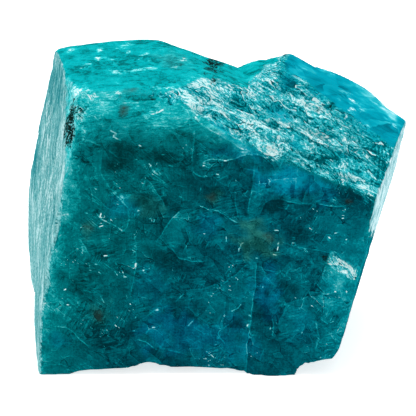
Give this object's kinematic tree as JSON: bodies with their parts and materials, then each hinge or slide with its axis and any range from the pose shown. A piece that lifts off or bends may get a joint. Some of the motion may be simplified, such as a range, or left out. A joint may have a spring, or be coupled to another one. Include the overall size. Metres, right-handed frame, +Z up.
{
  "type": "raw apatite crystal",
  "caption": "Rough blocky piece of blue-green apatite with flat cleavage faces, a ledged fracture slope and a flat base to rest on.",
  "frame": {"origin": "centre of the footprint of the whole piece, on the surface it rests on", "axes": "+Z up, -Y towards the broad front face, +X to the right along the longest side"},
  "size_m": [0.049, 0.0288, 0.034],
  "materials": {
    "apatite": "Blue-green translucent apatite, glossy on the flat faces and frosted white on the fractures and growth grooves."
  },
  "bodies": {
    "root": {"apatite_crystal": "apatite"}
  },
  "joints": []
}
